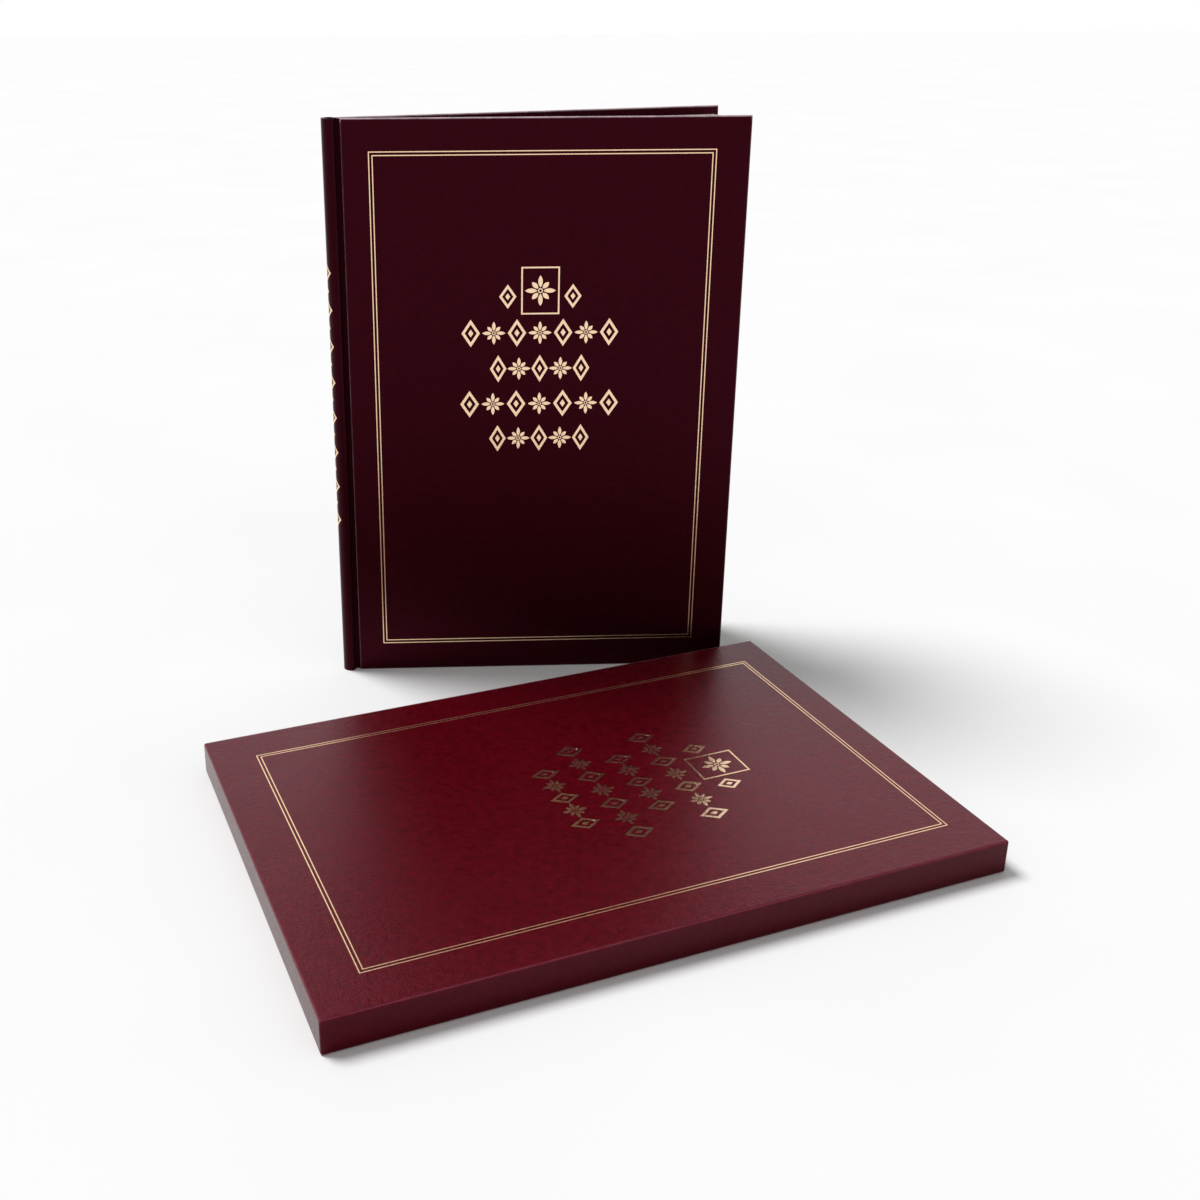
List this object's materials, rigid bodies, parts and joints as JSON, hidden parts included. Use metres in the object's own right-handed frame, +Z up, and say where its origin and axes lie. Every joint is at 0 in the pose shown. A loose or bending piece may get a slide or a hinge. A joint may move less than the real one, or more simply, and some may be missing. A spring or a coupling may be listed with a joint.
{
  "type": "stamp album with slipcase",
  "caption": "Case-bound stamp album in dark red leatherette with gilt borders, standing a little open on its tail edges, with its open-sided slipcase lying in front of it.",
  "frame": {"origin": "middle of the front cover's tail edge, on the floor the album stands on", "axes": "+X along the front cover from the spine to the fore edge, -Y out of the front cover's face, +Z up from tail to head"},
  "size_m": [0.3658, 0.3689, 0.305],
  "materials": {
    "leatherette": "semi-gloss, fine leather grain",
    "slipcase_leatherette": "semi-gloss, fine leather grain",
    "greyboard": "matt",
    "endpaper": "matt",
    "spine_card": "matt",
    "spine_mull": "open weave",
    "album_paper": "matt",
    "guard_paper": "matt",
    "linen_thread": "waxed",
    "band_cloth": "woven",
    "mount_film": "clear gloss",
    "stamp_paper": "printed, satin",
    "slipcase_paper": "matt",
    "gilt_foil": "blocked metal foil"
  },
  "bodies": {
    "front_cover": {"front_board": "greyboard", "front_cover_cloth": "leatherette", "front_pastedown": "endpaper", "front_foil": "gilt_foil"},
    "spine": {"spine_cloth": "leatherette", "spine_strip": "spine_card", "spine_lining": "spine_mull", "leaf_stubs": "album_paper", "guard_strips": "guard_paper", "sewing_thread": "linen_thread", "head_band": "band_cloth", "tail_band": "band_cloth"},
    "back_cover": {"back_board": "greyboard", "back_cover_cloth": "leatherette", "back_pastedown": "endpaper"},
    "front_flyleaf": {"front_flyleaf": "endpaper"},
    "leaf_1": {"leaf_1": "album_paper", "mounts_1": "mount_film", "stamps_1": "stamp_paper"},
    "leaf_2": {"leaf_2": "album_paper", "mounts_2": "mount_film", "stamps_2": "stamp_paper"},
    "leaf_3": {"leaf_3": "album_paper", "mounts_3": "mount_film", "stamps_3": "stamp_paper"},
    "leaf_4": {"leaf_4": "album_paper", "mounts_4": "mount_film", "stamps_4": "stamp_paper"},
    "leaf_5": {"leaf_5": "album_paper", "mounts_5": "mount_film", "stamps_5": "stamp_paper"},
    "leaf_6": {"leaf_6": "album_paper", "mounts_6": "mount_film", "stamps_6": "stamp_paper"},
    "leaf_7": {"leaf_7": "album_paper", "mounts_7": "mount_film", "stamps_7": "stamp_paper"},
    "leaf_8": {"leaf_8": "album_paper", "mounts_8": "mount_film", "stamps_8": "stamp_paper"},
    "back_flyleaf": {"back_flyleaf": "endpaper"},
    "slipcase": {"slipcase_top_board": "greyboard", "slipcase_base_board": "greyboard", "slipcase_wall_board": "greyboard", "slipcase_head_board": "greyboard", "slipcase_tail_board": "greyboard", "slipcase_top_cloth": "slipcase_leatherette", "slipcase_base_cloth": "slipcase_leatherette", "slipcase_wall_cloth": "slipcase_leatherette", "slipcase_top_lining": "slipcase_paper", "slipcase_base_lining": "slipcase_paper", "slipcase_wall_lining": "slipcase_paper", "slipcase_foil": "gilt_foil"}
  },
  "joints": [
    {"name": "front_joint", "type": "hinge", "parent": "front_cover", "child": "spine", "pos_m": [-0.10445, 0.00075, 0], "axis": [0, 0, 1], "range_deg": [-8.9, 80.5]},
    {"name": "back_joint", "type": "hinge", "parent": "spine", "child": "back_cover", "pos_m": [-0.10503, 0.0042, 0], "axis": [0, 0, 1], "range_deg": [-3.9, 85.5]},
    {"name": "front_flyleaf_turn", "type": "hinge", "parent": "spine", "child": "front_flyleaf", "pos_m": [-0.10435, 0.00136, 0], "axis": [0, 0, 1], "range_deg": [-58.01, 6.46]},
    {"name": "leaf_1_turn", "type": "hinge", "parent": "spine", "child": "leaf_1", "pos_m": [-0.10419, 0.00164, 0], "axis": [0, 0, 1], "range_deg": [-45.13, 5.03]},
    {"name": "leaf_2_turn", "type": "hinge", "parent": "spine", "child": "leaf_2", "pos_m": [-0.10404, 0.00193, 0], "axis": [0, 0, 1], "range_deg": [-32.25, 3.61]},
    {"name": "leaf_3_turn", "type": "hinge", "parent": "spine", "child": "leaf_3", "pos_m": [-0.10389, 0.00222, 0], "axis": [0, 0, 1], "range_deg": [-19.37, 2.19]},
    {"name": "leaf_4_turn", "type": "hinge", "parent": "spine", "child": "leaf_4", "pos_m": [-0.10373, 0.00251, 0], "axis": [0, 0, 1], "range_deg": [-6.49, 0.76]},
    {"name": "leaf_5_turn", "type": "hinge", "parent": "spine", "child": "leaf_5", "pos_m": [-0.10377, 0.00277, 0], "axis": [0, 0, 1], "range_deg": [-0.36, 6.89]},
    {"name": "leaf_6_turn", "type": "hinge", "parent": "spine", "child": "leaf_6", "pos_m": [-0.10401, 0.00299, 0], "axis": [0, 0, 1], "range_deg": [-0.99, 20.57]},
    {"name": "leaf_7_turn", "type": "hinge", "parent": "spine", "child": "leaf_7", "pos_m": [-0.10425, 0.00322, 0], "axis": [0, 0, 1], "range_deg": [-1.61, 34.25]},
    {"name": "leaf_8_turn", "type": "hinge", "parent": "spine", "child": "leaf_8", "pos_m": [-0.10449, 0.00344, 0], "axis": [0, 0, 1], "range_deg": [-2.23, 47.93]},
    {"name": "back_flyleaf_turn", "type": "hinge", "parent": "spine", "child": "back_flyleaf", "pos_m": [-0.10473, 0.00366, 0], "axis": [0, 0, 1], "range_deg": [-2.86, 61.61]},
    {"name": "slipcase_slide", "type": "slide", "parent": "front_cover", "child": "slipcase", "axis": [0.3295, -0.9441, 0], "range_m": [0, 0.2]}
  ],
  "couplings": [
    {"joint": "front_flyleaf_turn", "follows": "front_joint", "ratio": -0.72},
    {"joint": "leaf_1_turn", "follows": "front_joint", "ratio": -0.56},
    {"joint": "leaf_2_turn", "follows": "front_joint", "ratio": -0.4},
    {"joint": "leaf_3_turn", "follows": "front_joint", "ratio": -0.24},
    {"joint": "leaf_4_turn", "follows": "front_joint", "ratio": -0.08},
    {"joint": "leaf_5_turn", "follows": "back_joint", "ratio": 0.08},
    {"joint": "leaf_6_turn", "follows": "back_joint", "ratio": 0.24},
    {"joint": "leaf_7_turn", "follows": "back_joint", "ratio": 0.4},
    {"joint": "leaf_8_turn", "follows": "back_joint", "ratio": 0.56},
    {"joint": "back_flyleaf_turn", "follows": "back_joint", "ratio": 0.72}
  ]
}
